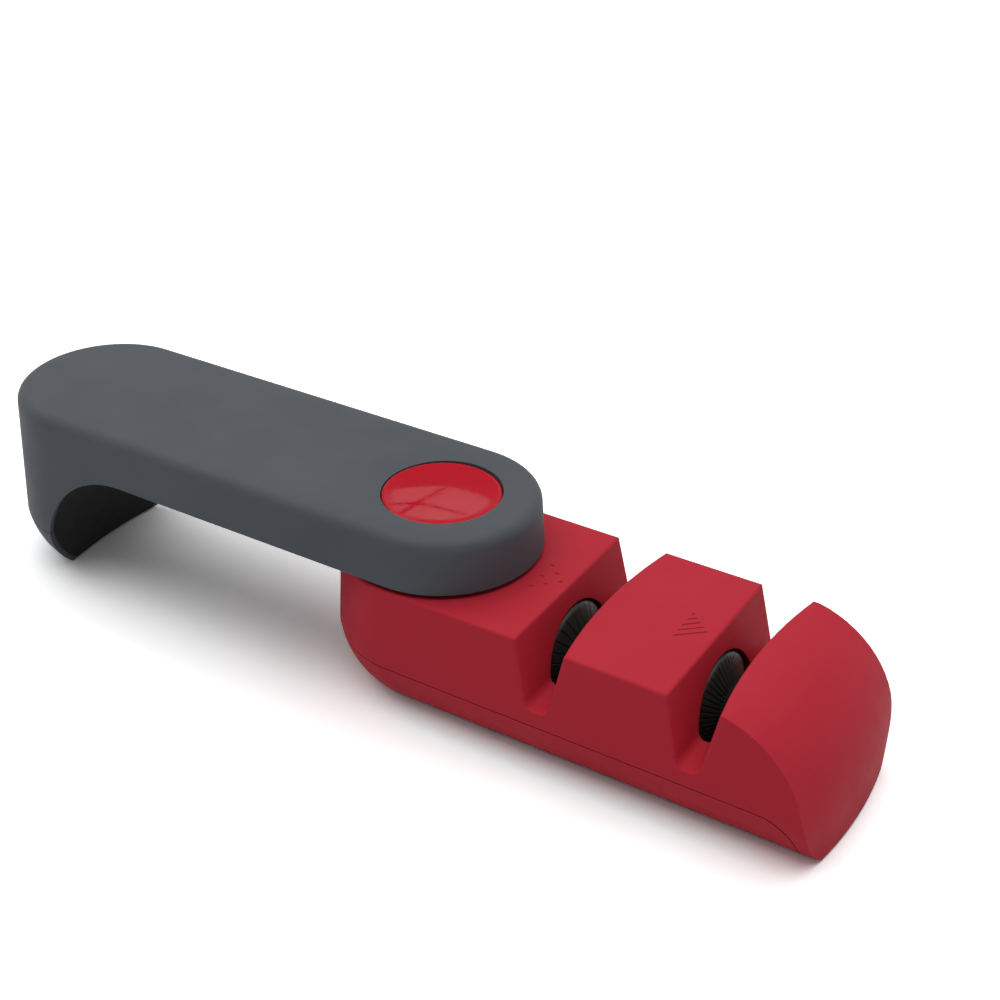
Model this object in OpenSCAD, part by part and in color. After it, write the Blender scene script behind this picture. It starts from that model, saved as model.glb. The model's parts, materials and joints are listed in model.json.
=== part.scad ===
// Folding pull-through knife sharpener, drawn open.
// A long round-ended body carries two V slots with conical wheels in them.
// A grip of the same outline swings on a post at one end of the body and stands on its own leg.
// The origin is on the swivel axis at floor level, X runs to the nose and Z is up.

/* [Outline] */
// Distance between the centres of the two round ends
span = 94; // [84:1:110]
// Height of the closed sharpener
height = 44.6; // [43:0.2:52]
// Half width at the widest line, low on the sides
half_w = 22.9; // [21.5:0.1:26]
// Half width that the sides draw in to at the top
top_half_w = 21.15; // [20:0.05:24]
// Half width where the sides meet the floor
foot_half_w = 15.2; // [13.5:0.1:18]
// Height of the widest line
knee_z = 14; // [11:0.5:16]
// Bulge of the sides below the widest line
flank_bulge = 1.55; // [0.5:0.05:2.2]
// Rounding along the top edge of the grip
top_round = 2.5; // [1:0.1:4]

/* [Body] */
// Height of the red deck
deck_z = 31.7; // [30.8:0.1:32.4]
// Rounding along the edges of the deck
deck_round = 0.8; // [0.3:0.1:1.5]
// Height of the line between the housing and its base cover
part_z = 12.2; // [11:0.1:13.2]
// Width of the open line between two moulded pieces
seam = 0.24; // [0.1:0.02:0.4]
// Wall thickness of the red mouldings
wall = 2; // [1.4:0.1:2.6]
// Thickness of the deck
deck_t = 2.4; // [2:0.1:3.2]
// How far the nose starts to fall before the far end's centre
nose_back = 18; // [14:0.5:18]
// Horizontal run of the curved nose
nose_run = 22; // [18:0.5:26]
// Height of the straight lower lip of the nose
nose_lip = 8; // [6:0.5:10]
// Height of the hard parts above the floor
ground_gap = 0.6; // [0.3:0.1:1]
// How far the front of the base cover stays behind the nose on the floor
cover_setback = 5.1; // [4:0.1:7]
// Rounded corner where the cover line turns down to the floor
cover_corner = 7.5; // [4:0.5:10]
// Thickness of the base cover's floor
floor_t = 2.2; // [2:0.1:2.4]
// Height of the cover's locating lip above the cover line
lip_h = 1.3; // [0.6:0.1:1.3]

/* [Slots and wheels] */
// Distance of the fine slot from the far end's centre
slot_2_back = 23.5; // [23:0.1:26]
// Distance between the two slots
slot_pitch = 33.65; // [30:0.05:36]
// Width of a slot at the deck
slot_top_w = 11.2; // [9:0.1:13]
// Width of a slot at its floor
slot_floor_w = 4.65; // [4.2:0.05:6]
// Height of the slot floor
slot_floor_z = 16; // [15.8:0.1:19]
// Rounding at the foot of a slot wall
slot_round = 1.8; // [0.5:0.1:2]
// Rounding at the mouth of a slot
mouth_round = 0.9; // [0.3:0.1:1.2]
// How far the nose side wall of a slot bows into it at mid width
slot_bow = 2.2; // [1:0.1:2.4]
// Rounding of the upright edges between a slot and the sides
edge_soft = 0.8; // [0.4:0.1:1.2]
// Height of the wheel axles
axle_z = 14.3; // [14:0.1:14.8]
// Radius of a wheel axle
axle_r = 1.5; // [1:0.1:1.8]
// Radius of a sharpening wheel
wheel_r = 12.2; // [10.5:0.1:12.3]
// Free space round a wheel in its pocket
pocket_gap = 0.5; // [0.4:0.1:0.8]
// Angle of the wheel's cone from the plane of the blade
cone_angle = 25; // [18:1:28]
// Rounding between the cone of a wheel and its rim
rim_round = 1.4; // [0.6:0.1:1.6]
// Width of the rim behind its rounding
rim_w = 0.8; // [0.8:0.05:1.8]
// Rounding at the back edge of the rim
rim_back = 0.4; // [0.2:0.1:0.5]
// Radius of the hub that carries a pair of wheels
hub_r = 3.4; // [2.8:0.1:3.8]
// Number of grooves in a coarse wheel
coarse_grooves = 30; // [16:1:36]
// Number of grooves in a fine wheel
fine_grooves = 52; // [30:1:60]
// Depth of a groove
groove_d = 0.3; // [0.15:0.05:0.4]
// Depth of the marks in the deck
mark_d = 0.15; // [0.1:0.05:0.3]

/* [Grip] */
// Open height between the deck and the grip
lift = 1.05; // [0.8:0.05:1.4]
// Free space between the nose and the leg as the leg swings past
swing_gap = 1.8; // [1:0.1:3]
// Wall thickness of the grip shell
grip_wall = 2.2; // [1.8:0.1:2.6]
// Thickness of the underside liner
liner_t = 1.8; // [1.6:0.1:2.2]
// Width of the shell's edge outside the liner
rim_edge = 1.5; // [1:0.1:1.7]
// Height of the line between the leg and its foot
leg_part_z = 13.1; // [11:0.1:15]
// Depth of the thumb dish beside the cap
dish_d = 0.8; // [0.2:0.1:1]
// Radius of the thumb dish
dish_r = 16; // [14:0.5:17]
// Distance of the dish's centre from the swivel axis
dish_x = 4; // [2:0.5:6]

/* [Swivel] */
// Radius of the fixed post that the grip turns on
post_r = 9.5; // [8.5:0.1:9.8]
// Running clearance of the bush on the post
run_fit = 0.05; // [0.02:0.01:0.1]
// Wall of the bush
bush_t = 1.45; // [1:0.05:1.5]
// Radius of the red cap
cap_r = 12.85; // [12.6:0.05:13.2]
// Free ring round the cap
cap_gap = 0.2; // [0.15:0.05:0.4]
// How far the rim of the cap lies below the top of the grip
cap_sink = 0.6; // [0.2:0.1:0.8]
// Depth of the hollow in the top of the cap
cap_dish = 0.4; // [0.1:0.1:0.6]
// Range of the swivel in degrees
swivel_range = 180; // [90:5:180]
// Radius of the circle that the detent ball runs on
detent_circle = 16.6; // [16.4:0.1:16.8]
// Radius of the detent ball
ball_r = 1.5; // [1.2:0.1:1.6]

/* [Screws and pads] */
// Radius of the screw shanks
screw_r = 1.25; // [1:0.05:1.5]
// Radius of the screw heads
head_r = 2.6; // [2.2:0.1:2.8]
// Height of the screw heads
head_h = 1.5; // [1:0.1:2]
// Thickness of the non-slip pads
pad_t = 1.5; // [1.2:0.1:1.7]
// Half length of the non-slip pads across the body
pad_half = 7.5; // [6:0.5:8]

/* [Hidden] */
$fn = 96;

// Clearance between pieces that are fitted together and don't move
fit = 0.1;
// Extra length of a cut, so that it runs past the face it opens
past = 1;
big = 2 * (span + half_w);
arc_steps = 8;

nose_start = span - nose_back;
slot_2_x = span - slot_2_back;
slot_1_x = slot_2_x - slot_pitch;
slots = [slot_1_x, slot_2_x];
lean = atan((slot_top_w - slot_floor_w) / 2 / (deck_z - slot_floor_z));
foot_round = min(slot_round, 0.9 * slot_floor_w / 2);

// The lower flank is an arc from the foot to the widest line
flank_run = half_w - foot_half_w;
flank_chord = norm([flank_run, knee_z]);
flank_r = flank_chord * flank_chord / (8 * flank_bulge) + flank_bulge / 2;
flank_cr = foot_half_w + flank_run / 2 - (flank_r - flank_bulge) * knee_z / flank_chord;
flank_cz = knee_z / 2 + (flank_r - flank_bulge) * flank_run / flank_chord;
draft = (half_w - top_half_w) / (height - knee_z);

// The bowed wall turns about an upright axis, and meets the sides at the slot's full width
deck_half = half_w - draft * (deck_z - knee_z);
bow_r = (deck_half * deck_half + slot_bow * slot_bow) / (2 * slot_bow);
bow_x = slot_top_w / 2 - slot_bow + bow_r;
// The edge rounding cuts this far past the faces it joins
soft_past = 0.01;

under_z = deck_z + lift;
nose_r = nose_start + nose_run;
cover_front = nose_r - cover_setback;

pocket_r = wheel_r + pocket_gap;
cone_clear = 0.25;
cone_start_r = hub_r + 0.5;
cone_end_r = wheel_r - rim_round * (1 - sin(cone_angle));
// Both are rounded off, so that the faces that meet at the back of the wheels share one plane
cone_end_d = round(100 * (cone_clear + (cone_end_r - cone_start_r) * tan(cone_angle))) / 100;
rim_d = round(100 * (cone_end_d + rim_round * cos(cone_angle))) / 100;
wheel_back = rim_d + rim_w;
hub_half = wheel_back + 0.15;
pocket_d = hub_half + 0.25;
pocket_wall = 1.6;
cheek_t = 2.4;
cheek_d = pocket_d + cheek_t;
axle_half = pocket_d + 1.5;
saddle_half_w = 5;
key_w = 1.2;
key_h = 0.5;

ring_in = detent_circle - 2.2;
ring_out = detent_circle + 2.2;
ring_sink = 0.3;
bush_r = post_r + run_fit + bush_t;
hub_tube_r = bush_r + 2;
well_r = cap_r + cap_gap;
flange_t = 0.5;
spring_room = 0.6;
disc_t = 1;
disc_r = 11.4;
pivot_head_h = 1.3;
pivot_head_r = 3.9;
pivot_shank_r = 1.9;
cap_t = 1.2;
cap_top = height - cap_sink;
disc_top = cap_top - cap_t - pivot_head_h - 0.3;
disc_z = disc_top - disc_t;
post_top = disc_z;
flange_top = post_top - spring_room;
well_floor = flange_top - flange_t;
well_floor_t = 1.4;
well_wall = 2;
web_t = 1.5;
post_depth = 8;
post_foot = deck_z - post_depth;
peg_r = 0.8;
peg_l = 1;
lug_half_angle = 9;
lug_play = 1;
lug_drop = 1.2;
groove_room = 0.25;
ball_wall = 1;
ball_roof = under_z + 2 * ball_r + 2.8;

// Marks in the deck: the tip of each one stays behind its slot
mark_back = 2.1;
dot_r = 0.45;
dot_pitch = 2.3;
dot_row = 4.4;
arrow_l = 5.5;
arrow_half = 4.9;
line_w = 0.45;
line_pitch = 1.6;
line_turn = 41.5;

// Screw places: in the body as drawn, in the grip as it lies closed over the body
boss_r = screw_r + 1.9;
screw_off = 2.6;
rear_screw_x = slot_1_x - cheek_d - boss_r - screw_off;
front_screw_x = slot_2_x + cheek_d + boss_r + screw_off;
base_screw_places = [[rear_screw_x, 13.5], [front_screw_x, 11]];
liner_screw_in = 28;
liner_screw_places = [[liner_screw_in, 10], [span - liner_screw_in, 10]];
foot_screw_out = 11.3;
foot_screw_x = span + foot_screw_out;
rib_pitch = 14;
head_hole_r = head_r + 0.25;
base_head_z = 6;
foot_head_z = 3.4;
liner_head_z = under_z + head_h + fit;
pad_corner = 3;
base_screw_l = 14;
liner_screw_l = 6;
foot_screw_l = 18;
rear_pad_x = [-10, 26];
mid_pad_x = [slot_1_x + pocket_d + 3.5, slot_2_x - pocket_d - 3.5];
front_pad_x = [slot_2_x + pocket_d + 3, cover_front - 4];

// Half width of the outline at a height
function side_r(z) =
    z < knee_z ? flank_cr + sqrt(flank_r * flank_r - pow(z - flank_cz, 2))
               : half_w - draft * (z - knee_z);

// Heights at which the outline has a point
function side_heights(z0, z1) = concat(
    [z0],
    [for (i = [1 : arc_steps]) let (z = knee_z * i / arc_steps) if (z > z0 + 0.2 && z < z1 - 0.2) z],
    [z1]
);

// Half section of a round-ended solid between two heights, with a rounded top edge
function side_section(z0, z1, inset = 0, round = 0) = concat(
    [[0, z0]],
    [for (z = side_heights(z0, z1 - round)) [side_r(z) - inset, z]],
    [for (i = [1 : round > 0 ? 6 : 0])
        let (a = i * 15, r = side_r(z1 - round) - inset - round)
        [r + round * cos(a), z1 - round + round * sin(a)]],
    [[0, z1]]
);

// Quarter ellipse from its outermost point to its top
function quarter(start_r, run, base_z, rise) =
    [for (i = [0 : 2 * arc_steps]) let (a = i * 45 / arc_steps)
        [start_r + run * cos(a), base_z + rise * sin(a)]];

// Points of one slot wall, from the mouth to the floor
function slot_wall() =
    let (
        k = tan(lean),
        hw = slot_floor_w / 2,
        mouth_x = hw + k * (deck_z - mouth_round - slot_floor_z) + mouth_round / cos(lean),
        foot_x = hw + k * foot_round - foot_round / cos(lean)
    )
    concat(
        [[mouth_x, deck_z + past]],
        [for (i = [0 : 4]) let (a = 90 + (90 - lean) * i / 4)
            [mouth_x + mouth_round * cos(a), deck_z - mouth_round + mouth_round * sin(a)]],
        [for (i = [0 : 4]) let (a = -lean - (90 - lean) * i / 4)
            [foot_x + foot_round * cos(a), slot_floor_z + foot_round + foot_round * sin(a)]]
    );

function mirrored(points) = [for (i = [len(points) - 1 : -1 : 0]) [-points[i][0], points[i][1]]];

// Round-ended solid from the swivel axis to the other end, from its half section
module stadium(section, length = span) {
    rotate([0, 0, 90]) rotate_extrude(angle = 180) polygon(section);
    translate([length, 0, 0]) rotate([0, 0, -90]) rotate_extrude(angle = 180) polygon(section);
    rotate([90, 0, 90]) linear_extrude(length) polygon(concat(section, mirrored(section)));
}

// Everything that the nose keeps inside, as it is turned about the swivel axis
module nose_form(inset = 0, top = deck_z) {
    run = nose_run - inset;
    rise = top + 0.12 - nose_lip;
    rotate_extrude()
        polygon(concat(
            [[0, -past], [nose_start + run, -past]],
            quarter(nose_start, run, nose_lip, rise),
            [[0, nose_lip + rise]]
        ));
}

// The space under the grip that the body swings through, grown outward by a thickness
module arch_space(grow = 0) {
    run = nose_run + swing_gap + grow;
    rise = under_z + grow - nose_lip;
    rotate_extrude()
        polygon(concat(
            [[0, -past], [nose_start + run, -past]],
            quarter(nose_start, run, nose_lip, rise),
            [[0, nose_lip + rise]]
        ));
}

// A profile in the X and Z directions, carried across the whole width
module across(width = big) {
    rotate([90, 0, 0]) translate([0, 0, -width / 2]) linear_extrude(width) children();
}

// The block that the base cover takes out of the body, moved outward by a gap
module cover_block(gap = 0) {
    top = part_z + gap;
    front = cover_front + gap;
    corner = cover_corner;
    across()
        polygon(concat(
            [[-big, -past], [front, -past]],
            [for (i = [0 : 6]) let (a = i * 15)
                [front - corner + corner * cos(a), top - corner + corner * sin(a)]],
            [[-big, top]]
        ));
}

// The block beyond a slot, its bowed wall with the same section as the straight one
module bowed_block() {
    skin = [for (p = slot_wall()) [bow_x + slot_bow - p[0], p[1]]];
    translate([bow_x, 0, 0])
        rotate_extrude()
            polygon(concat(
                [[0, deck_z + 2 * past], [skin[0][0], deck_z + 2 * past]],
                skin,
                [[skin[len(skin) - 1][0], slot_floor_z - past], [0, slot_floor_z - past]]
            ));
}

module slot_cut() {
    reach = slot_top_w / 2 + slot_bow + past;
    difference() {
        across(2 * half_w + 4 * past)
            polygon(concat([[reach, deck_z + past], [reach, slot_floor_z]], mirrored(slot_wall())));
        bowed_block();
    }
    slot_edges();
}

// Place of the upright edge at a height, on the straight wall or on the bowed one
function straight_edge(s, z) = [-slot_floor_w / 2 - tan(lean) * (z - slot_floor_z), s * side_r(z), z];
function bowed_edge(s, z) =
    let (r = bow_x + slot_bow - slot_floor_w / 2 - tan(lean) * (z - slot_floor_z))
    [bow_x - sqrt(r * r - pow(side_r(z), 2)), s * side_r(z), z];

// The four upright edges where a slot opens through the sides
module slot_edges() {
    z0 = slot_floor_z + foot_round;
    z1 = deck_z + past;
    for (s = [-1, 1]) {
        out = [0, s, draft] / norm([1, draft]);
        edge_round(straight_edge(s, z0), straight_edge(s, z1), [cos(lean), 0, sin(lean)], out);
        mid = bowed_edge(s, (z0 + z1) / 2) - [bow_x, 0, 0];
        flat = norm([mid[0], mid[1]]) / cos(lean);
        edge_round(bowed_edge(s, z0), bowed_edge(s, z1), [mid[0] / flat, mid[1] / flat, sin(lean)], out);
    }
}

// Cuts an edge round, from its foot p to its top q, between faces with the normals n1 and n2
module edge_round(p, q, n1, n2) {
    d = q - p;
    tip = acos(d[2] / norm(d));
    turn = atan2(d[1], d[0]);
    ex = [cos(tip) * cos(turn), cos(tip) * sin(turn), -sin(tip)];
    ey = [-sin(turn), cos(turn), 0];
    a1 = atan2(n1 * ey, n1 * ex);
    sweep = (atan2(n2 * ey, n2 * ex) - a1 + 540) % 360 - 180;
    u1 = [cos(a1), sin(a1)];
    u2 = [cos(a1 + sweep), sin(a1 + sweep)];
    middle = -(edge_soft - soft_past) * (u1 + u2) / (1 + u1 * u2);
    steps = 5;
    translate(p) rotate([0, tip, turn]) linear_extrude(norm(d))
        polygon(concat(
            [for (i = [0 : steps]) let (a = a1 + sweep * i / steps)
                middle + edge_soft * [cos(a), sin(a)]],
            [middle + (edge_soft + past) * u2,
             middle + (edge_soft + past) * (u1 + u2),
             middle + (edge_soft + past) * u1]
        ));
}

// Six dots before the coarse slot and a ruled arrow before the fine one
module deck_marks() {
    tip_1 = slot_1_x - slot_top_w / 2 - mark_back;
    tip_2 = slot_2_x - slot_top_w / 2 - mark_back;
    for (i = [0 : 2], j = [0 : i])
        translate([tip_1 - i * dot_pitch, (j - i / 2) * dot_row, 0])
            cylinder_between(dot_r, deck_z - mark_d, deck_z + past);
    intersection() {
        translate([tip_2, 0, deck_z - mark_d])
            linear_extrude(mark_d + past)
                polygon([[0, 0], [-arrow_l, arrow_half], [-arrow_l, -arrow_half]]);
        for (i = [0 : 4])
            translate([tip_2 - arrow_l, -arrow_half, deck_z - 2 * mark_d])
                rotate([0, 0, line_turn])
                    translate([-2 * arrow_l, i * line_pitch + line_w / 2, 0])
                        cube([4 * arrow_l, line_w, 2 * past]);
    }
}

// The V-shaped skin round a slot, inside the hollow body
module slot_skin() {
    out = wall / cos(lean);
    k = tan(lean);
    top_x = slot_floor_w / 2 + k * (deck_z - slot_floor_z) + out;
    low_x = slot_floor_w / 2 - k * wall + out;
    across()
        polygon([
            [top_x, deck_z], [low_x, slot_floor_z - wall], [-low_x, slot_floor_z - wall], [-top_x, deck_z]
        ]);
}

module x_rod(r, half) {
    rotate([0, 90, 0]) cylinder(r = r, h = 2 * half, center = true);
}

// Round-topped space along X, straight down from the axle height
module tunnel(r, half, bottom) {
    translate([0, 0, axle_z]) x_rod(r, half);
    translate([-half, -r, bottom]) cube([2 * half, 2 * r, axle_z - bottom]);
}

module at_base_screws() {
    for (p = base_screw_places, s = [-1, 1]) translate([p[0], s * p[1], 0]) children();
}

module at_liner_screws() {
    for (p = liner_screw_places, s = [-1, 1]) translate([p[0], s * p[1], 0]) children();
}

module at_foot_screw() {
    translate([foot_screw_x, 0, 0]) children();
}

// Pan-head screw pointing up, its head seated at z = 0
module screw(shank_r, shank_l, hr, hh) {
    difference() {
        union() {
            cylinder(r = shank_r, h = shank_l - shank_r);
            translate([0, 0, shank_l - shank_r]) cylinder(r1 = shank_r, r2 = 0.3, h = shank_r);
            translate([0, 0, -hh * 0.6]) cylinder(r = hr, h = hh * 0.6);
            translate([0, 0, -hh]) cylinder(r1 = hr * 0.78, r2 = hr, h = hh * 0.4);
        }
        for (a = [0, 90])
            rotate([0, 0, a])
                translate([-hr * 0.55, -hr * 0.13, -hh - past]) cube([hr * 1.1, hr * 0.26, hh * 0.6 + past]);
    }
}

// Swings a piece of the grip from its closed place over the body to the open one
module opened() {
    rotate([0, 0, swivel_range]) children();
}

// Closed tube along a path of points, each with its own two cross directions
module tube(points, across_dirs, r, sides) {
    n = len(points);
    ring = [for (i = [0 : n - 1], s = [0 : sides - 1])
        let (a = 360 * s / sides)
        points[i] + r * cos(a) * across_dirs[i][0] + r * sin(a) * across_dirs[i][1]];
    skin = [for (i = [0 : n - 2], s = [0 : sides - 1], half = [0, 1])
        let (t = (s + 1) % sides, a = i * sides, b = (i + 1) * sides)
        half == 0 ? [a + s, a + t, b + t] : [a + s, b + t, b + s]];
    low_end = [for (s = [1 : sides - 2]) [0, s + 1, s]];
    high_end = [for (s = [1 : sides - 2]) [(n - 1) * sides, (n - 1) * sides + s, (n - 1) * sides + s + 1]];
    polyhedron(ring, concat(skin, low_end, high_end));
}

module body_outer() {
    intersection() {
        stadium(side_section(ground_gap, deck_z, 0, deck_round));
        nose_form();
    }
}

module body_housing() {
    color([0.69, 0.13, 0.19])
    difference() {
        union() {
            difference() {
                body_outer();
                cover_block(seam / 2);
                housing_hollow();
                thrust_recess();
            }
            cylinder_between(post_r, deck_z - deck_t, post_top);
        }
        post_core();
        stop_groove();
        for (x = slots) translate([x, 0, 0]) {
            slot_cut();
            tunnel(pocket_r, pocket_d, part_z - 2 * past);
            translate([0, 0, axle_z]) x_rod(axle_r + fit / 4, axle_half + fit);
            for (s = [-1, 1])
                translate([s * (pocket_d + cheek_t / 2), 0, axle_z / 2])
                    cube([cheek_t + fit, 2 * (saddle_half_w + fit), axle_z], center = true);
        }
        deck_marks();
        at_base_screws() cylinder_between(screw_r, part_z - past, deck_z - 2 * deck_t);
    }
}

module cylinder_between(r, z0, z1) {
    translate([0, 0, z0]) cylinder(r = r, h = z1 - z0);
}

// The hollow of the housing, less what stands in it
module housing_hollow() {
    difference() {
        intersection() {
            stadium(side_section(part_z - past, deck_z - deck_t, wall));
            nose_form(wall, deck_z - deck_t);
        }
        for (x = slots) translate([x, 0, 0]) {
            slot_skin();
            tunnel(pocket_r + pocket_wall, cheek_d, part_z);
        }
        at_base_screws() cylinder_between(boss_r, part_z, deck_z);
        post_ribs();
        cylinder_between(post_r, post_foot, deck_z);
    }
}

// Four webs that brace the foot of the post under the deck
module post_ribs() {
    for (a = [45 : 90 : 315])
        rotate([0, 0, a])
            translate([0, -web_t / 2, post_foot + post_depth / 3]) cube([half_w, web_t, post_depth]);
}

// The post is cored from below round a column for the pivot screw
module post_core() {
    difference() {
        cylinder_between(post_r - wall, post_foot - past, post_top - deck_t);
        cylinder_between(pivot_shank_r + 2, post_foot - 2 * past, post_top);
    }
    cylinder_between(pivot_shank_r, post_foot - 2 * past, post_top + past);
}

// Arc-shaped groove that the grip's stop lug runs in
module stop_groove() {
    start = 180 - lug_half_angle - lug_play;
    sweep = swivel_range + 2 * (lug_half_angle + lug_play);
    rotate([0, 0, start])
        rotate_extrude(angle = sweep)
            translate([bush_r - groove_room, deck_z - lug_drop - groove_room])
                square([hub_tube_r - bush_r + 2 * groove_room, lug_drop + past]);
}

module thrust_recess() {
    difference() {
        cylinder_between(ring_out + fit, deck_z - ring_sink, deck_z + past);
        cylinder_between(ring_in - fit, deck_z - ring_sink - past, deck_z + 2 * past);
    }
    for (s = [-1, 1])
        translate([0, s * detent_circle, deck_z - ring_sink - peg_l - fit])
            cylinder(r = peg_r + fit / 2, h = 2 * peg_l);
}

module base_cover() {
    top = part_z - seam / 2;
    floor_top = ground_gap + floor_t;
    color([0.64, 0.12, 0.18])
    difference() {
        union() {
            difference() {
                intersection() {
                    stadium(side_section(ground_gap, top));
                    cover_block(-seam / 2);
                }
                difference() {
                    intersection() {
                        stadium(side_section(floor_top, part_z + past, wall));
                        across() translate([-big, 0]) square([big + cover_front - wall - 1, height]);
                    }
                    at_base_screws() cylinder_between(boss_r + 1, 0, height);
                    for (x = slots) translate([x, 0, 0]) slot_rails();
                }
            }
            cover_lip(top);
            for (x = slots, s = [-1, 1])
                translate([x + s * (pocket_d + cheek_t / 2), 0, (floor_top - 1 + axle_z) / 2])
                    cube([cheek_t, 2 * saddle_half_w, axle_z - floor_top + 1], center = true);
        }
        for (x = slots) translate([x, 0, axle_z]) {
            x_rod(axle_r + fit / 4, axle_half + fit);
            x_rod(pocket_r, pocket_d);
        }
        at_base_screws() {
            cylinder_between(head_hole_r, -past, base_head_z);
            cylinder_between(screw_r + fit / 2, 0, height);
        }
        pad_spaces(fit / 2);
    }
}

// Low rails on the floor beside each wheel trough
module slot_rails() {
    for (s = [-1, 1])
        translate([s * (cheek_d + web_t) - web_t / 2, -pad_half, 0])
            cube([web_t, 2 * pad_half, ground_gap + 2 * floor_t]);
}

// The lip stands inside the housing wall and stops short of the rounded corner
module cover_lip(top) {
    intersection() {
        collar(top, part_z + lip_h, wall);
        across() translate([-big, 0]) square([big + cover_front - cover_corner - 3, height]);
    }
}

// Locating collar: part of the wall below the line, and clear of the next piece's wall above it
module collar(line_z, top_z, wall_t) {
    difference() {
        union() {
            stadium(side_section(line_z - 3, line_z - fit, wall_t - 0.4));
            stadium(side_section(line_z - 1, top_z, wall_t + fit));
        }
        stadium(side_section(line_z - 4, top_z + past, wall_t + fit + 1.1));
    }
}

module pad_spaces(gap = 0) {
    for (x = [rear_pad_x, mid_pad_x, front_pad_x])
        translate([x[0] - gap, 0, -past]) pad_shape(x[1] - x[0] + 2 * gap, pad_half + gap, pad_t + past);
}

// A slab with round corners, from x = 0 along X
module pad_shape(length, half, h) {
    corner = min(pad_corner, length / 3);
    linear_extrude(h) {
        translate([corner, -half]) square([length - 2 * corner, 2 * half]);
        translate([0, corner - half]) square([length, 2 * half - 2 * corner]);
        for (x = [corner, length - corner], y = [corner - half, half - corner])
            translate([x, y]) circle(r = corner);
    }
}

module base_screws() {
    color([0.75, 0.76, 0.78])
    at_base_screws() translate([0, 0, base_head_z]) screw(screw_r, base_screw_l, head_r, head_h);
}

module non_slip_pads() {
    color([0.13, 0.13, 0.14])
    for (x = [rear_pad_x, mid_pad_x, front_pad_x])
        translate([x[0], 0, 0]) pad_shape(x[1] - x[0], pad_half, pad_t);
}

module axle(x) {
    color([0.8, 0.81, 0.83])
    translate([x, 0, axle_z]) {
        x_rod(axle_r, axle_half - 0.3);
        x_rod(axle_r - 0.3, axle_half);
    }
}

// Hub of a wheel pair, with three keys on each side
module wheel_hub(x) {
    color([0.16, 0.16, 0.17])
    translate([x, 0, axle_z])
        difference() {
            union() {
                x_rod(hub_r, hub_half);
                for (s = [-1, 1], a = [0, 120, 240])
                    rotate([a, 0, 0])
                        translate([s * (cone_end_d + wheel_back) / 2, 0, hub_r])
                            cube([wheel_back - cone_end_d, key_w, 2 * key_h], center = true);
            }
            x_rod(axle_r + run_fit + 0.02, hub_half + past);
        }
}

// One grooved conical wheel, its axis along Z and its cone toward the plane z = 0
module wheel(grooves) {
    slant = (cone_end_r - cone_start_r) / cos(cone_angle);
    difference() {
        rotate_extrude()
            polygon(concat(
                [[hub_r + fit / 2, cone_clear], [cone_start_r, cone_clear]],
                [for (i = [0 : 5]) let (a = (90 - cone_angle) * (1 - i / 5))
                    [wheel_r - rim_round * (1 - cos(a)), rim_d - rim_round * sin(a)]],
                [for (i = [0 : 3]) let (a = i * 30)
                    [wheel_r - rim_back * (1 - cos(a)), wheel_back - rim_back * (1 - sin(a))]],
                [[hub_r + fit / 2, wheel_back]]
            ));
        for (i = [0 : grooves - 1])
            rotate([0, 0, (i + 0.5) * 360 / grooves])
                translate([cone_start_r, 0, cone_clear]) rotate([0, -cone_angle, 0])
                    rotate([90, 0, 90]) translate([0, 0, slant / 3]) linear_extrude(slant)
                        polygon([[-groove_d, -0.2], [groove_d, -0.2], [0, groove_d]]);
        for (a = [0, 120, 240])
            rotate([0, 0, a])
                translate([hub_r, 0, (cone_end_d + wheel_back) / 2 + past / 2 - fit])
                    cube([2 * (key_h + fit), key_w + 2 * fit, wheel_back - cone_end_d + past], center = true);
    }
}

module wheel_at(x, side, grooves) {
    color([0.19, 0.2, 0.19])
    translate([x, 0, axle_z]) rotate([0, side * 90, 0]) rotate([0, 0, side < 0 ? 0 : 180]) wheel(grooves);
}

module thrust_ring() {
    color([0.2, 0.2, 0.21])
    difference() {
        union() {
            cylinder_between(ring_out, deck_z - ring_sink, under_z - fit / 2);
            for (s = [-1, 1])
                translate([0, s * detent_circle, deck_z - ring_sink - peg_l])
                    cylinder(r = peg_r, h = 1.2 * peg_l);
        }
        cylinder_between(ring_in, 0, height);
        for (a = [0, swivel_range])
            rotate([0, 0, a])
                translate([detent_circle, 0, deck_z - ring_sink - past])
                    cylinder(r = peg_r, h = 3 * past + lift);
    }
}

// Ring of sheet that rises and falls three times round
module wave_spring() {
    steps = 48;
    r_in = post_r + 0.35;
    r_out = disc_r - 0.2;
    sheet = 0.22;
    rise = (spring_room - sheet) / 2 - 0.03;
    mid_z = (flange_top + disc_z) / 2;
    corners = [[r_in, -sheet / 2], [r_out, -sheet / 2], [r_out, sheet / 2], [r_in, sheet / 2]];
    points = [for (i = [0 : steps - 1], c = corners)
        let (a = 360 * i / steps) [c[0] * cos(a), c[0] * sin(a), mid_z + c[1] + rise * sin(3 * a)]];
    faces = [for (i = [0 : steps - 1], k = [0 : 3], half = [0, 1])
        let (m = (k + 1) % 4, a = i * 4, b = ((i + 1) % steps) * 4)
        half == 0 ? [a + k, b + m, a + m] : [a + k, b + k, b + m]];
    color([0.7, 0.71, 0.73]) polyhedron(points, faces);
}

module retaining_disc() {
    color([0.78, 0.79, 0.8])
    difference() {
        cylinder_between(disc_r, disc_z, disc_top);
        cylinder_between(pivot_shank_r + fit, disc_z - past, disc_top + past);
    }
}

module pivot_screw() {
    color([0.75, 0.76, 0.78])
    translate([0, 0, disc_top]) rotate([180, 0, 0])
        screw(pivot_shank_r, disc_top - post_foot - past, pivot_head_r, pivot_head_h);
}

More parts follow.
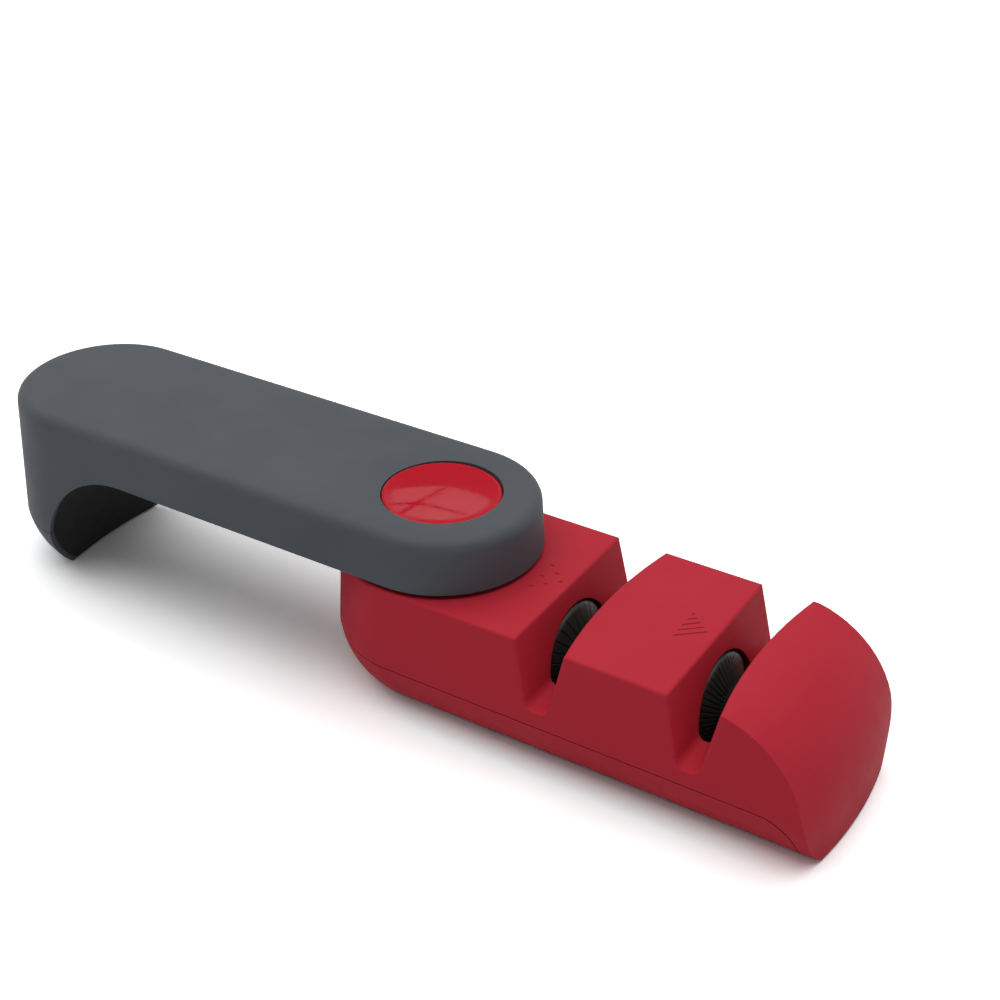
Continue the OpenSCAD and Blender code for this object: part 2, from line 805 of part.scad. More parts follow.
// Glossy cap, pressed over the edge of the retaining disc
module pivot_cap() {
    dish_sphere = (pow(cap_r - 0.5, 2) + cap_dish * cap_dish) / (2 * cap_dish);
    edge = 0.4;
    color([0.75, 0.08, 0.14])
    rotate_extrude()
        polygon(concat(
            [[0, cap_top - cap_t], [disc_r - 1.2, cap_top - cap_t], [disc_r - 1.2, disc_top],
             [disc_r + fit / 2, disc_top], [disc_r + fit / 2, disc_z + 0.5], [cap_r - edge, disc_z + 0.5],
             [cap_r - edge, cap_top - cap_t], [cap_r, cap_top - cap_t]],
            [for (i = [0 : 4]) let (a = i * 22.5)
                [cap_r - edge + edge * cos(a), cap_top - edge + edge * sin(a)]],
            [for (i = [0 : 5]) let (r = (cap_r - 0.5) * (1 - i / 6))
                [r, cap_top + dish_sphere - cap_dish - sqrt(dish_sphere * dish_sphere - r * r)]],
            [[0, cap_top - cap_dish]]
        ));
}

// Grip shell, with the hub tube, the cap's well and the screw bosses moulded in
module handle_shell() {
    dish_sphere = (dish_r * dish_r + dish_d * dish_d) / (2 * dish_d);
    color([0.33, 0.35, 0.37])
    opened()
    difference() {
        union() {
            difference() {
                stadium(side_section(leg_part_z + seam / 2, height, 0, top_round));
                arch_space();
                liner_space();
                grip_hollow();
            }
            cylinder_between(hub_tube_r, under_z, well_floor);
            stop_lug();
        }
        cylinder_between(bush_r, under_z - past - lift, height);
        cylinder_between(well_r, well_floor, height + past);
        translate([dish_x, 0, height - dish_d]) thumb_dish(dish_sphere);
        translate([-detent_circle, 0, 0])
            cylinder_between(ball_r + ball_wall + fit, under_z, ball_roof + ball_wall + fit);
        at_liner_screws() cylinder_between(screw_r, under_z, liner_head_z + liner_screw_l + fit);
        at_foot_screw() cylinder_between(screw_r, 0, foot_head_z + foot_screw_l + past);
    }
}

// Recess for the liner in the shell and the foot, which leaves their outer edge as a rim
module liner_space() {
    intersection() {
        arch_space(liner_t + fit);
        stadium(side_section(0, under_z + 2 * liner_t, rim_edge));
    }
}

// Shallow turned hollow, its lowest point at z = 0
module thumb_dish(sphere_r) {
    steps = 8;
    rotate_extrude()
        polygon(concat(
            [for (i = [0 : steps]) let (r = dish_r * i / steps)
                [r, sphere_r - sqrt(sphere_r * sphere_r - r * r)]],
            [[dish_r, dish_d + past], [0, dish_d + past]]
        ));
}

// The hollow of the grip, less the walls of the well, the bosses and the cross ribs
module grip_hollow() {
    difference() {
        stadium(side_section(0, height - grip_wall, grip_wall));
        cylinder_between(well_r + well_wall, well_floor - well_floor_t, height);
        at_liner_screws() cylinder_between(boss_r, liner_head_z + 2, height);
        at_foot_screw() cylinder_between(boss_r, leg_part_z + seam / 2, height);
        for (i = [1, 3, 4])
            translate([span - i * rib_pitch, -big / 2, under_z + liner_t + web_t]) cube([web_t, big, height]);
    }
}

module stop_lug() {
    rotate([0, 0, -lug_half_angle])
        rotate_extrude(angle = 2 * lug_half_angle)
            translate([bush_r - fit, under_z - lift - lug_drop])
                square([hub_tube_r - bush_r, lift + lug_drop + well_floor_t]);
}

// Dark underside of the grip, which follows the arch down to the foot of the leg
module handle_liner() {
    color([0.15, 0.155, 0.165])
    opened()
    difference() {
        union() {
            difference() {
                intersection() {
                    arch_space(liner_t);
                    stadium(side_section(ground_gap, height - grip_wall, rim_edge + fit));
                }
                arch_space();
            }
            at_liner_screws() cylinder_between(boss_r + 0.9, under_z, liner_head_z + 2 - fit / 2);
            translate([-detent_circle, 0, 0])
                cylinder_between(ball_r + ball_wall, under_z, ball_roof + ball_wall);
        }
        cylinder_between(hub_tube_r + fit, 0, height);
        at_liner_screws() {
            cylinder_between(head_hole_r, 0, liner_head_z);
            cylinder_between(screw_r + fit / 2, 0, height);
        }
        translate([-detent_circle, 0, 0]) cylinder_between(ball_r + fit, 0, ball_roof);
    }
}

// Foot of the leg, with a collar that stands up into the shell
module handle_foot() {
    top = leg_part_z - seam / 2;
    color([0.36, 0.38, 0.4])
    opened()
    difference() {
        union() {
            difference() {
                stadium(side_section(ground_gap, top));
                arch_space();
                liner_space();
                difference() {
                    stadium(side_section(foot_head_z + 2, top + past, grip_wall));
                    arch_space(2 * liner_t);
                    at_foot_screw() cylinder_between(boss_r + 1, 0, height);
                }
            }
            difference() {
                collar(top, leg_part_z + 3, grip_wall);
                arch_space(liner_t + 2 * fit);
            }
        }
        at_foot_screw() {
            cylinder_between(head_hole_r, 0, foot_head_z);
            cylinder_between(screw_r + fit / 2, 0, height);
        }
        foot_pad_shape(fit / 2);
    }
}

// The pad keeps the foot's crescent outline, set in from its edges
module foot_pad_shape(gap = 0) {
    set_in = 1.4 - gap;
    inner_r = nose_r + swing_gap + liner_t + set_in / 2;
    difference() {
        translate([span, 0, gap > 0 ? -past : 0])
            cylinder(r = foot_half_w - set_in, h = pad_t + (gap > 0 ? past : 0));
        translate([0, 0, -2 * past]) cylinder(r = inner_r, h = pad_t + 4 * past);
    }
}

module foot_pad() {
    color([0.13, 0.13, 0.14]) opened() foot_pad_shape();
}

module liner_screws() {
    color([0.75, 0.76, 0.78])
    opened() at_liner_screws() translate([0, 0, liner_head_z]) screw(screw_r, liner_screw_l, head_r, head_h);
}

module foot_screw() {
    color([0.75, 0.76, 0.78])
    opened() at_foot_screw() translate([0, 0, foot_head_z]) screw(screw_r, foot_screw_l, head_r, head_h);
}

module pivot_bush() {
    color([0.88, 0.87, 0.83])
    opened()
    difference() {
        union() {
            cylinder_between(bush_r, under_z, well_floor + flange_t / 2);
            cylinder_between(well_r - 0.25, well_floor, flange_top);
        }
        cylinder_between(post_r + run_fit, 0, height);
    }
}

module detent_ball() {
    color([0.82, 0.83, 0.85])
    opened() translate([-detent_circle, 0, under_z + ball_r]) sphere(r = ball_r);
}

// Coil spring that presses the ball down
module detent_spring() {
    turns = 4;
    rings = 12;
    wire = 0.22;
    coil_r = ball_r - 0.35;
    z0 = under_z + 2 * ball_r + wire;
    z1 = ball_roof - wire;
    count = turns * rings;
    path = [for (i = [0 : count]) let (a = i * 360 / rings)
        [coil_r * cos(a), coil_r * sin(a), z0 + (z1 - z0) * i / count]];
    dirs = [for (i = [0 : count]) let (a = i * 360 / rings) [[cos(a), sin(a), 0], [0, 0, 1]]];
    color([0.8, 0.81, 0.83]) opened() translate([-detent_circle, 0, 0]) tube(path, dirs, wire, 8);
}

body_housing();
base_cover();
base_screws();
non_slip_pads();
axle(slot_1_x);  // coarse_axle
axle(slot_2_x);  // fine_axle
thrust_ring();
wave_spring();
retaining_disc();
pivot_screw();
pivot_cap();
wheel_hub(slot_1_x);  // coarse_hub
wheel_at(slot_1_x, -1, coarse_grooves);  // coarse_wheel_inner
wheel_at(slot_1_x, 1, coarse_grooves);  // coarse_wheel_outer
wheel_hub(slot_2_x);  // fine_hub
wheel_at(slot_2_x, -1, fine_grooves);  // fine_wheel_inner
wheel_at(slot_2_x, 1, fine_grooves);  // fine_wheel_outer
handle_shell();
handle_liner();
handle_foot();
foot_pad();
liner_screws();
foot_screw();
pivot_bush();
detent_ball();
detent_spring();
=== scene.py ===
"""Looks of the folding knife sharpener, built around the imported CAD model. Metres, Z up."""
import json
import math

import bpy
from mathutils import Euler, Matrix, Vector
from mathutils.geometry import interpolate_bezier


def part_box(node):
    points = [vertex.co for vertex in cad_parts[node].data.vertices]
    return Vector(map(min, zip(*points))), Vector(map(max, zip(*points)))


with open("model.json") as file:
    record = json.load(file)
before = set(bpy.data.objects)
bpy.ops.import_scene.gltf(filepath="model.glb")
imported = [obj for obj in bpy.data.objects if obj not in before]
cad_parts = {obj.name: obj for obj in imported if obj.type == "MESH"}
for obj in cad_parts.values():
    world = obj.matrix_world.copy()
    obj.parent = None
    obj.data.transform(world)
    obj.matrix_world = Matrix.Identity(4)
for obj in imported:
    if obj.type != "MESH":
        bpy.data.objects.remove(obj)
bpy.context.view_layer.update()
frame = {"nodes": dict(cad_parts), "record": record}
scene = bpy.context.scene

MM = 0.001
MICRON = 0.000001

# Colours of the object, as linear red, green and blue
HOUSING_DEEP = (0.455, 0.0230, 0.0390)
HOUSING_BRIGHT = (0.485, 0.0260, 0.0440)
# Paler red painted along the housing's edges as a highlight
HOUSING_EDGE_HIGHLIGHT = (0.53, 0.035, 0.055)
CAP_DEEP = (0.455, 0.0015, 0.0125)
CAP_BRIGHT = (0.485, 0.0025, 0.0150)
GRIP_DARK = (0.075, 0.083, 0.095)
GRIP_LIGHT = (0.087, 0.096, 0.108)
LINER_DARK = (0.0215, 0.0225, 0.0235)
LINER_LIGHT = (0.0290, 0.0302, 0.0315)
BLACK_DARK = (0.014, 0.014, 0.015)
BLACK_LIGHT = (0.022, 0.022, 0.023)
RUBBER = (0.018, 0.018, 0.019)
RUBBER_DUST = (0.06, 0.058, 0.056)
CERAMIC_GRIT = (0.034, 0.041, 0.033)
CERAMIC_BOND = (0.0160, 0.0195, 0.0155)
# Paler grey painted along the wheels' edges as a highlight
CERAMIC_EDGE_HIGHLIGHT = (0.060, 0.067, 0.058)
AXLE = (0.62, 0.63, 0.65)
SPRING = (0.45, 0.46, 0.48)
ZINC = (0.60, 0.61, 0.63)
ACETAL_DARK = (0.66, 0.64, 0.57)
ACETAL_LIGHT = (0.72, 0.70, 0.64)

# Nearly all values of a noise lie in this band
BAND = (0.3, 0.7)
# Rays that a Bevel node sends out to find edges
BEVEL_SAMPLES = 6

# Hollow in the top of the cap: radius of its sphere, and radius of its edge about the axis
DISH_SPHERE = 190.9 * MM
DISH_EDGE = 12.2 * MM


class Mat:
    """A material with its Principled shader, and short ways to add nodes to it."""

    def __init__(self, name, **values):
        self.mat = bpy.data.materials.new(name)
        self.mat.use_nodes = True
        self.tree = self.mat.node_tree
        self.tree.nodes.clear()
        self.out = self.node("ShaderNodeOutputMaterial")
        self.bsdf = self.node("ShaderNodeBsdfPrincipled")
        self.link(self.bsdf.outputs[0], self.out.inputs[0])
        for key, value in values.items():
            self.bsdf.inputs[key.replace("_", " ")].default_value = value
        self.place = self.node("ShaderNodeTexCoord").outputs["Object"]

    def node(self, kind, **settings):
        n = self.tree.nodes.new(kind)
        for key, value in settings.items():
            setattr(n, key, value)
        return n

    def link(self, a, b):
        self.tree.links.new(a, b)

    def fill(self, sockets, values):
        """Links or sets each socket, where a value is another node's output or a plain one."""
        for socket, value in zip(sockets, values):
            if isinstance(value, bpy.types.NodeSocket):
                self.link(value, socket)
            else:
                socket.default_value = value

    def math(self, operation, *values):
        n = self.node("ShaderNodeMath", operation=operation)
        self.fill(n.inputs, values)
        return n.outputs[0]

    def vector(self, operation, *values):
        n = self.node("ShaderNodeVectorMath", operation=operation)
        self.fill(n.inputs, values)
        return n.outputs

    def noise(self, scale, detail=2.0, rough=0.5, stretch=None, distortion=0.0):
        """Soft noise with about this many lumps a metre, and fewer along an axis with a low stretch."""
        place = self.place
        if stretch is not None:
            mapping = self.node("ShaderNodeMapping")
            mapping.inputs["Scale"].default_value = stretch
            self.link(place, mapping.inputs["Vector"])
            place = mapping.outputs[0]
        n = self.node("ShaderNodeTexNoise")
        n.inputs["Scale"].default_value = scale
        n.inputs["Detail"].default_value = detail
        n.inputs["Roughness"].default_value = rough
        n.inputs["Distortion"].default_value = distortion
        self.link(place, n.inputs["Vector"])
        return n.outputs["Fac"]

    def cells(self, scale):
        """Distance to the nearest of many scattered points, with about this many a metre."""
        n = self.node("ShaderNodeTexVoronoi")
        n.inputs["Scale"].default_value = scale
        self.link(self.place, n.inputs["Vector"])
        return n.outputs["Distance"]

    def spread(self, value, band, out=(0.0, 1.0)):
        """Stretches a band of values over another, and holds what lies outside at its ends."""
        n = self.node("ShaderNodeMapRange")
        self.fill(n.inputs, (value, *band, *out))
        return n.outputs[0]

    def mix(self, factor, a, b):
        """Mixes two colours, each one a plain colour or a node's output."""
        n = self.node("ShaderNodeMix", data_type="RGBA")
        colors = [(*c, 1.0) if isinstance(c, tuple) else c for c in (a, b)]
        self.fill((n.inputs[0], n.inputs[6], n.inputs[7]), (factor, *colors))
        return n.outputs[2]

    def bevel(self, radius):
        """The normal, rounded across every edge within the radius."""
        n = self.node("ShaderNodeBevel", samples=BEVEL_SAMPLES)
        n.inputs["Radius"].default_value = radius
        return n.outputs[0]

    def edges(self, radius, band=(0.005, 0.25)):
        """1 along edges within the radius, 0 on open faces."""
        unrounded = self.node("ShaderNodeNewGeometry").outputs["Normal"]
        alike = self.vector("DOT_PRODUCT", self.bevel(radius), unrounded)["Value"]
        return self.spread(self.math("SUBTRACT", 1.0, alike), band)

    def finish(self, color, roughness, layers, normal):
        """Sets colour and roughness, and stacks bumps of (height, strength, depth) on the normal."""
        for height, strength, depth in layers:
            bump = self.node("ShaderNodeBump")
            bump.inputs["Strength"].default_value = strength
            bump.inputs["Distance"].default_value = depth
            self.link(height, bump.inputs["Height"])
            self.link(normal, bump.inputs["Normal"])
            normal = bump.outputs[0]
        self.link(color, self.bsdf.inputs["Base Color"])
        self.link(roughness, self.bsdf.inputs["Roughness"])
        self.link(normal, self.bsdf.inputs["Normal"])
        return self.mat


def red_housing():
    """Spark-eroded matt red plastic, shinier along its edges, where a painted highlight also makes it a
    little paler.
    """
    m = Mat("red_housing", Specular_IOR_Level=0.05)
    cloud = m.spread(m.noise(38, detail=3, rough=0.55), BAND)
    edge = m.edges(0.6 * MM)
    body = m.mix(cloud, HOUSING_DEEP, HOUSING_BRIGHT)
    # Painted highlight: the edges are mixed towards a paler red
    color = m.mix(m.math("MULTIPLY", edge, 0.35), body, HOUSING_EDGE_HIGHLIGHT)
    rub = m.spread(m.noise(120, detail=4, rough=0.6), (0.35, 0.75), (0.46, 0.56))
    rough = m.math("SUBTRACT", rub, m.math("MULTIPLY", edge, 0.1))
    grain = m.noise(2900, detail=3, rough=0.55)
    layers = ((grain, 0.22, 40 * MICRON), (m.cells(2300), 0.10, 30 * MICRON))
    return m.finish(color, rough, layers, m.bevel(0.22 * MM))


def dish_normal(m):
    """The true normal inside the cap's hollow, which is a shallow sphere, and a soft edge round it."""
    flat = m.vector("MULTIPLY", m.place, (1, 1, 0))[0]
    # A sphere's normal leans to its axis in step with the distance from it
    lean = m.vector("MULTIPLY_ADD", flat, (-1 / DISH_SPHERE, -1 / DISH_SPHERE, 0), (0, 0, 1))[0]
    inside = m.math("LESS_THAN", m.vector("LENGTH", flat)["Value"], DISH_EDGE)
    pick = m.node("ShaderNodeMix", data_type="VECTOR")
    hollow = m.vector("NORMALIZE", lean)[0]
    m.fill((pick.inputs[0], pick.inputs[4], pick.inputs[5]), (inside, m.bevel(0.2 * MM), hollow))
    return pick.outputs[1]


def red_gloss():
    """Polished red cap with fine hair scratches."""
    m = Mat("red_gloss", Coat_Weight=0.12, Coat_Roughness=0.02, Specular_IOR_Level=0.2)
    color = m.mix(m.spread(m.noise(70), BAND), CAP_DEEP, CAP_BRIGHT)
    hair = m.noise(900, stretch=(1.0, 0.05, 1.0), distortion=0.6)
    rough = m.spread(hair, (0.45, 0.75), (0.03, 0.07))
    swell = m.noise(55, detail=1)
    return m.finish(color, rough, ((swell, 0.03, 200 * MICRON),), dish_normal(m))


def grey_grip():
    """Soft-touch grey: a dry velvety skin with a very fine grain, and a painted highlight that makes its
    edges paler.
    """
    m = Mat("grey_grip", Specular_IOR_Level=0.14, Sheen_Weight=0.03, Sheen_Roughness=0.5)
    body = m.mix(m.spread(m.noise(30, detail=4, rough=0.6), (0.3, 0.72)), GRIP_DARK, GRIP_LIGHT)
    # Painted highlight: a paler grey mixed in along the edges
    edge_highlight = tuple(1.5 * c + 0.01 for c in GRIP_LIGHT)
    color = m.mix(m.math("MULTIPLY", m.edges(0.5 * MM), 0.4), body, edge_highlight)
    rough = m.spread(m.noise(90, detail=5, rough=0.65), (0.3, 0.75), (0.52, 0.64))
    return m.finish(color, rough, ((m.noise(3600), 0.16, 30 * MICRON),), m.bevel(0.2 * MM))


def dark_plastic(name, dark, light, rough_band):
    """Plain dark moulded plastic, a little uneven in its shine."""
    m = Mat(name, Specular_IOR_Level=0.12)
    color = m.mix(m.spread(m.noise(60, detail=3), BAND), dark, light)
    rough = m.spread(m.noise(300, detail=4), BAND, rough_band)
    return m.finish(color, rough, ((m.noise(2400), 0.2, 40 * MICRON),), m.bevel(0.15 * MM))


def pad_rubber():
    """Matt black rubber with dust in its pores."""
    m = Mat("pad_rubber", Specular_IOR_Level=0.35)
    dust = m.spread(m.noise(240, detail=5, rough=0.7), (0.5, 0.8), (0.0, 0.5))
    rough = m.spread(m.noise(500, detail=3), BAND, (0.7, 0.88))
    pores = (m.cells(1500), 0.35, 80 * MICRON)
    return m.finish(m.mix(dust, RUBBER, RUBBER_DUST), rough, (pores,), m.bevel(0.3 * MM))


def ceramic():
    """Sintered dark ceramic: speckled grit, with a painted highlight that makes the grooves' edges a
    little paler.
    """
    m = Mat("wheel_ceramic", Specular_IOR_Level=0.4)
    body = m.mix(m.spread(m.cells(3400), (0.0, 0.5)), CERAMIC_GRIT, CERAMIC_BOND)
    edge = m.edges(0.3 * MM, (0.01, 0.3))
    # Painted highlight: the edges are mixed towards a paler grey
    color = m.mix(m.math("MULTIPLY", edge, 0.15), body, CERAMIC_EDGE_HIGHLIGHT)
    rough = m.spread(m.noise(1800, detail=4, rough=0.7), BAND, (0.3, 0.52))
    grit = (m.noise(4200, detail=3, rough=0.6), 0.4, 50 * MICRON)
    return m.finish(color, rough, (grit,), m.bevel(0.28 * MM))


def steel(name, tint, rough_band, stretch):
    """Ground, drawn or plated steel with fine lines along the axes with a low stretch."""
    m = Mat(name, Metallic=1.0)
    lines = m.noise(1500, detail=3, rough=0.6, stretch=stretch)
    color = m.mix(m.spread(lines, BAND), tuple(0.82 * c for c in tint), tint)
    rough = m.spread(lines, BAND, rough_band)
    return m.finish(color, rough, ((lines, 0.15, 30 * MICRON),), m.bevel(0.1 * MM))


def bush_plastic():
    """Natural acetal, slightly translucent."""
    m = Mat("bush_plastic", Subsurface_Weight=0.15, Subsurface_Radius=(1.0 * MM, 0.9 * MM, 0.7 * MM))
    color = m.mix(m.noise(180, detail=3), ACETAL_DARK, ACETAL_LIGHT)
    rough = m.spread(m.noise(700, detail=3), BAND, (0.3, 0.45))
    return m.finish(color, rough, ((m.noise(1800), 0.1, 30 * MICRON),), m.bevel(0.1 * MM))


MATERIALS = {
    "red_housing": red_housing(),
    "red_gloss": red_gloss(),
    "grey_grip": grey_grip(),
    "dark_liner": dark_plastic("dark_liner", LINER_DARK, LINER_LIGHT, (0.62, 0.76)),
    "dark_plastic": dark_plastic("dark_plastic", BLACK_DARK, BLACK_LIGHT, (0.4, 0.55)),
    "bush_plastic": bush_plastic(),
    "pad_rubber": pad_rubber(),
    "wheel_ceramic": ceramic(),
    "axle_steel": steel("axle_steel", AXLE, (0.16, 0.3), (0.05, 1, 1)),
    "spring_steel": steel("spring_steel", SPRING, (0.22, 0.4), (1, 1, 1)),
    "screw_steel": steel("screw_steel", ZINC, (0.24, 0.42), (1, 1, 0.2)),
}

# Faces closer in angle than this are shaded as one smooth surface
SMOOTH_ANGLE = math.radians(28)
# Points of neighbouring faces closer than this are joined
WELD = 1 * MICRON


def smooth_group():
    """Geometry nodes that join the split faces and shade them smooth up to an edge angle."""
    group = bpy.data.node_groups.new("smooth_by_angle", "GeometryNodeTree")
    for way in ("INPUT", "OUTPUT"):
        group.interface.new_socket("Geometry", in_out=way, socket_type="NodeSocketGeometry")
    add, link = group.nodes.new, group.links.new
    start, end = add("NodeGroupInput"), add("NodeGroupOutput")
    weld = add("GeometryNodeMergeByDistance")
    weld.inputs["Distance"].default_value = WELD
    angle = add("GeometryNodeInputMeshEdgeAngle")
    limit = add("FunctionNodeCompare")
    limit.data_type, limit.operation = "FLOAT", "LESS_EQUAL"
    limit.inputs[1].default_value = SMOOTH_ANGLE
    faces, edges = add("GeometryNodeSetShadeSmooth"), add("GeometryNodeSetShadeSmooth")
    faces.domain, edges.domain = "FACE", "EDGE"
    link(start.outputs[0], weld.inputs["Geometry"])
    link(angle.outputs["Unsigned Angle"], limit.inputs[0])
    link(weld.outputs[0], faces.inputs["Geometry"])
    link(faces.outputs[0], edges.inputs["Geometry"])
    link(limit.outputs[0], edges.inputs["Shade Smooth"])
    link(edges.outputs[0], end.inputs[0])
    return group


slot_of = {s["node"]: s["material_slot"] for s in frame["record"]["subparts"]}
smooth = smooth_group()
for name, ob in frame["nodes"].items():
    ob.data.materials.clear()
    ob.data.materials.append(MATERIALS[slot_of[name]])
    ob.modifiers.new("smooth", "NODES").node_group = smooth

# The studio: a paper floor and wall, a pale sky, two wide lamps and a window for the cap to mirror
FLOOR_HALF = 4.5
# Grey of the floor that lights the object, and of the overexposed one that the camera sees
FLOOR_LIT = 0.73
FLOOR_SEEN = 1.48
# Beside the red body the seen floor is painted this colour, which cancels the red light thrown on it and
# lightens the shadow there a little
LEAN_COLOR = (1.36, 1.60, 1.59)
# How far the lean reaches from the body's sides, and the power that it fades with
LEAN_REACH = 14 * MM
LEAN_FADE = 2.0
# The lean runs from this far past the swivel axis to this far before the nose
LEAN_START = 14 * MM
LEAN_STOP = 32 * MM
WALL_RADIUS = 4.4
WALL_HEIGHT = 1.4
WALL_SIDES = 64
SKY_COLOR = (0.97, 0.985, 1.0, 1)
SKY_STRENGTH = 0.27


def stage_object(name, verts, faces, material, matrix=Matrix.Identity(4)):
    """A mesh that belongs to the studio and not to the object."""
    mesh = bpy.data.meshes.new(name)
    mesh.from_pydata(verts, [], faces)
    mesh.materials.append(material)
    ob = bpy.data.objects.new(name, mesh)
    ob.matrix_world = matrix
    scene.collection.objects.link(ob)
    return ob


def glow(name, strength):
    """A plain white glow, or black at a strength of 0."""
    mat = bpy.data.materials.new(name)
    mat.use_nodes = True
    tree = mat.node_tree
    tree.nodes.clear()
    light = tree.nodes.new("ShaderNodeEmission")
    light.inputs["Strength"].default_value = strength
    out = tree.nodes.new("ShaderNodeOutputMaterial")
    tree.links.new(light.outputs[0], out.inputs[0])
    return mat


def beside_body(m):
    """1 at the sides of the red body, fading to 0 a short way out."""
    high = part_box("body_housing")[1]
    axes = m.node("ShaderNodeSeparateXYZ")
    m.link(m.place, axes.inputs[0])
    along, across = axes.outputs["X"], axes.outputs["Y"]
    stretch = (LEAN_START, high[0] - LEAN_STOP)
    past_end = m.math("SUBTRACT", along, m.spread(along, stretch, stretch))
    off = m.node("ShaderNodeCombineXYZ")
    m.fill(off.inputs, (past_end, across))
    away = m.vector("LENGTH", off.outputs[0])["Value"]
    near = m.spread(away, (high[1], high[1] + LEAN_REACH), (1.0, 0.0))
    return m.math("POWER", near, LEAN_FADE)


def floor_paper():
    """Pale paper, which the camera, mirrors and glass see as an overexposed white."""
    m = Mat("floor", Roughness=0.9, Specular_IOR_Level=0.0)
    m.bsdf.inputs["Base Color"].default_value = (FLOOR_LIT, FLOOR_LIT, FLOOR_LIT, 1)
    path = m.node("ShaderNodeLightPath").outputs
    # Painted beside the body: a colour that cancels the body's red light on the floor and lightens its
    # shadow
    to_camera = m.mix(beside_body(m), (FLOOR_SEEN, FLOOR_SEEN, FLOOR_SEEN), LEAN_COLOR)
    seen = m.node("ShaderNodeBsdfDiffuse")
    m.link(m.mix(path["Is Camera Ray"], (1.0, 1.0, 1.0), to_camera), seen.inputs["Color"])
    mirrored = m.math("MAXIMUM", path["Is Glossy Ray"], path["Is Transmission Ray"])
    direct = m.math("MAXIMUM", path["Is Camera Ray"], mirrored)
    choose = m.node("ShaderNodeMixShader")
    m.fill(choose.inputs, (direct, m.bsdf.outputs[0], seen.outputs[0]))
    m.link(choose.outputs[0], m.out.inputs[0])
    return m.mat


def floor():
    """A paper floor, far wider than the picture."""
    corners = ((-1, -1), (1, -1), (1, 1), (-1, 1))
    verts = [(FLOOR_HALF * x, FLOOR_HALF * y, 0) for x, y in corners]
    stage_object("floor", verts, [(0, 1, 2, 3)], floor_paper())


def wall():
    """White paper wall round the floor, which only the camera, mirrors and glass see."""
    turns = [2 * math.pi * i / WALL_SIDES for i in range(WALL_SIDES)]
    rim = [(WALL_RADIUS * math.cos(a), WALL_RADIUS * math.sin(a)) for a in turns]
    verts = [(x, y, z) for z in (0, WALL_HEIGHT) for x, y in rim]
    ring = [(i, (i + 1) % WALL_SIDES) for i in range(WALL_SIDES)]
    faces = [(i, j, WALL_SIDES + j, WALL_SIDES + i) for i, j in ring]
    ob = stage_object("backdrop", verts, faces, glow("backdrop", 1.0))
    ob.visible_diffuse = ob.visible_shadow = False


def sky():
    """A dim cool sky all round, for the shadows."""
    scene.world = bpy.data.worlds.new("studio")
    scene.world.use_nodes = True
    tree = scene.world.node_tree
    tree.nodes.clear()
    light = tree.nodes.new("ShaderNodeBackground")
    light.inputs["Color"].default_value = SKY_COLOR
    light.inputs["Strength"].default_value = SKY_STRENGTH
    out = tree.nodes.new("ShaderNodeOutputWorld")
    tree.links.new(light.outputs[0], out.inputs[0])


def aim(place, target):
    """World matrix at a place whose -Z looks at the target."""
    back = (Vector(place) - Vector(target)).normalized()
    side = Vector((0, 0, 1)).cross(back).normalized()
    matrix = Matrix((side, back.cross(side), back)).transposed().to_4x4()
    matrix.translation = place
    return matrix


def sun(name, place, strength, angle):
    """A lamp as wide as the angle in degrees, which shines from the place's direction."""
    data = bpy.data.lights.new(name, "SUN")
    data.energy, data.angle = strength, math.radians(angle)
    ob = bpy.data.objects.new(name, data)
    ob.matrix_world = aim(place, (0, 0, 0))
    scene.collection.objects.link(ob)


# The window, in the direction and at the distance that puts it in the dished cap as seen from the camera
WINDOW = (-0.479, 0.711, 0.559)
WINDOW_TARGET = (0, 0, 44 * MM)
WINDOW_STRENGTH = 1.08
# Millimetres across and up the window: its outline, and the middle lines of its two crossing bars
PANE = [(-15.5, 17), (-7, 35), (7, 32), (18.5, -17), (10, -71), (-0.5, -79), (-12, -45)]
BAR_A = [(4, 34), (-4, -10), (-9.5, -59)]
BAR_B = [(-13.5, -24), (-3, -23), (9.5, -63)]
# Half of a bar's width, across and up
BAR_A_HALF = (1.1, 0)
BAR_B_HALF = (0, 3.5)
# How far the bars stand before the window
BAR_FORWARD = 2
CURVE_STEPS = 8


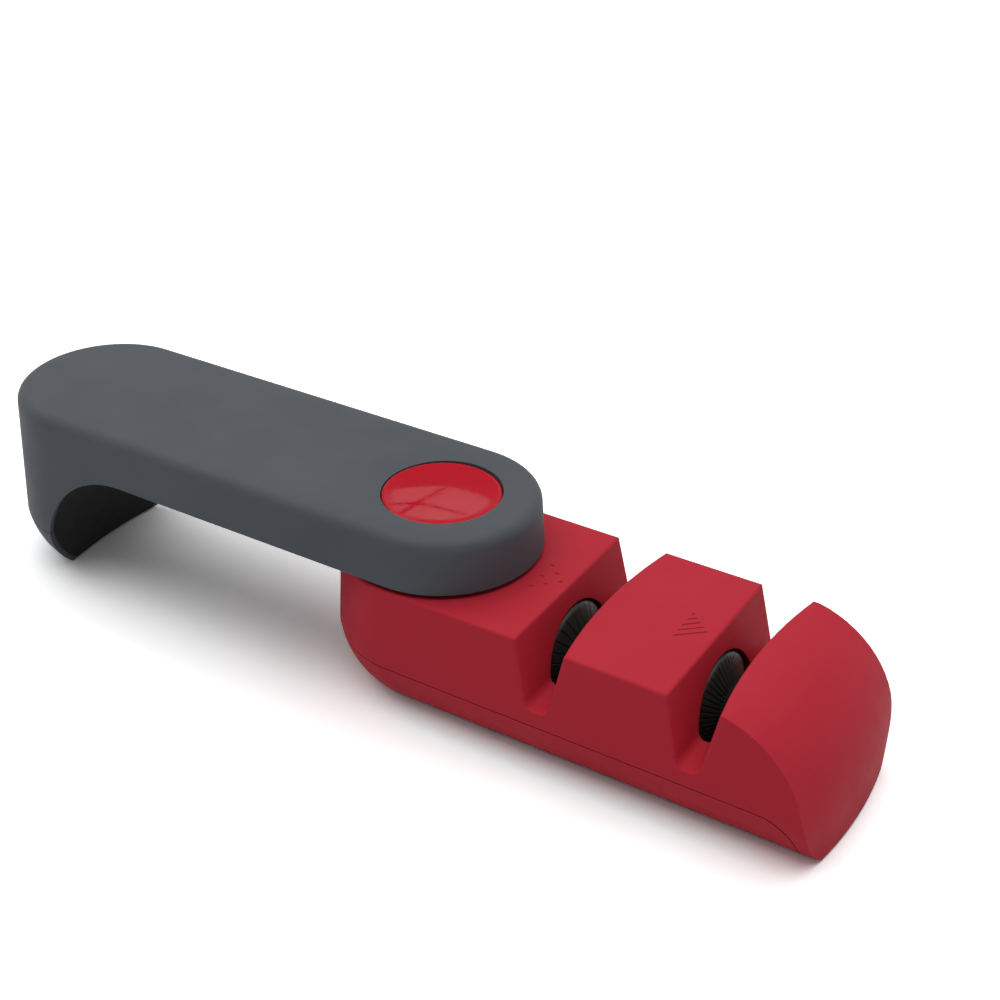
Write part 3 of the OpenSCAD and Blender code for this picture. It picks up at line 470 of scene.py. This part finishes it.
def curve(points, closed=False):
    """A smooth curve through the points (Catmull-Rom)."""
    points = [Vector(p) for p in points]
    if closed:
        row = [points[-1], *points, *points[:2]]
    else:
        row = [2 * points[0] - points[1], *points, 2 * points[-1] - points[-2]]
    line = []
    for before, start, end, after in zip(row, row[1:], row[2:], row[3:]):
        handles = start + (end - before) / 6, end - (after - start) / 6
        # Each piece leaves out its end, where the next one starts
        line += interpolate_bezier(start, *handles, end, CURVE_STEPS + 1)[:-1]
    return line if closed else [*line, points[-1]]


def lamp_sheet(name, verts, faces, strength):
    """A flat sheet in the window's plane, which only gloss sees; its corners are in millimetres."""
    verts = [MM * Vector(v) for v in verts]
    ob = stage_object(name, verts, faces, glow(name, strength), aim(WINDOW, WINDOW_TARGET))
    ob.visible_camera = ob.visible_diffuse = ob.visible_shadow = ob.visible_transmission = False


def bar(name, points, half):
    """A black bar before the window, along a smooth line."""
    line = curve(points)
    verts = [(x + s * half[0], y + s * half[1], -BAR_FORWARD) for x, y in line for s in (-1, 1)]
    faces = [(2 * i, 2 * i + 1, 2 * i + 3, 2 * i + 2) for i in range(len(line) - 1)]
    lamp_sheet(name, verts, faces, 0.0)


floor()
wall()
sky()
sun("key", place=(-0.10, 0.15, 1.0), strength=2.32, angle=80)
sun("left fill", place=(-1.0, -0.10, 0.45), strength=0.22, angle=50)
outline = curve(PANE, closed=True)
lamp_sheet("window", [(x, y, 0) for x, y in outline], [tuple(range(len(outline)))], WINDOW_STRENGTH)
bar("window_bar_a", BAR_A, BAR_A_HALF)
bar("window_bar_b", BAR_B, BAR_B_HALF)

# The camera, where the photograph was taken from: its place, its turns in degrees and its lens
CAMERA_PLACE = (0.1718, -0.25321, 0.23144)
CAMERA_DOWN = 31.75
CAMERA_LEFT = 31.868
CAMERA_LENS = 61.25


def camera():
    """The camera of the picture, upright and with a full-frame sensor."""
    data = bpy.data.cameras.new("camera")
    data.sensor_width = 36
    data.lens = CAMERA_LENS
    data.clip_start, data.clip_end = 0.01, 50
    ob = bpy.data.objects.new("camera", data)
    turn = Euler((math.radians(90 - CAMERA_DOWN), 0, math.radians(CAMERA_LEFT)))
    ob.matrix_world = Matrix.Translation(CAMERA_PLACE) @ turn.to_matrix().to_4x4()
    scene.collection.objects.link(ob)
    return ob


scene.camera = camera()
scene.view_settings.view_transform = "Standard"
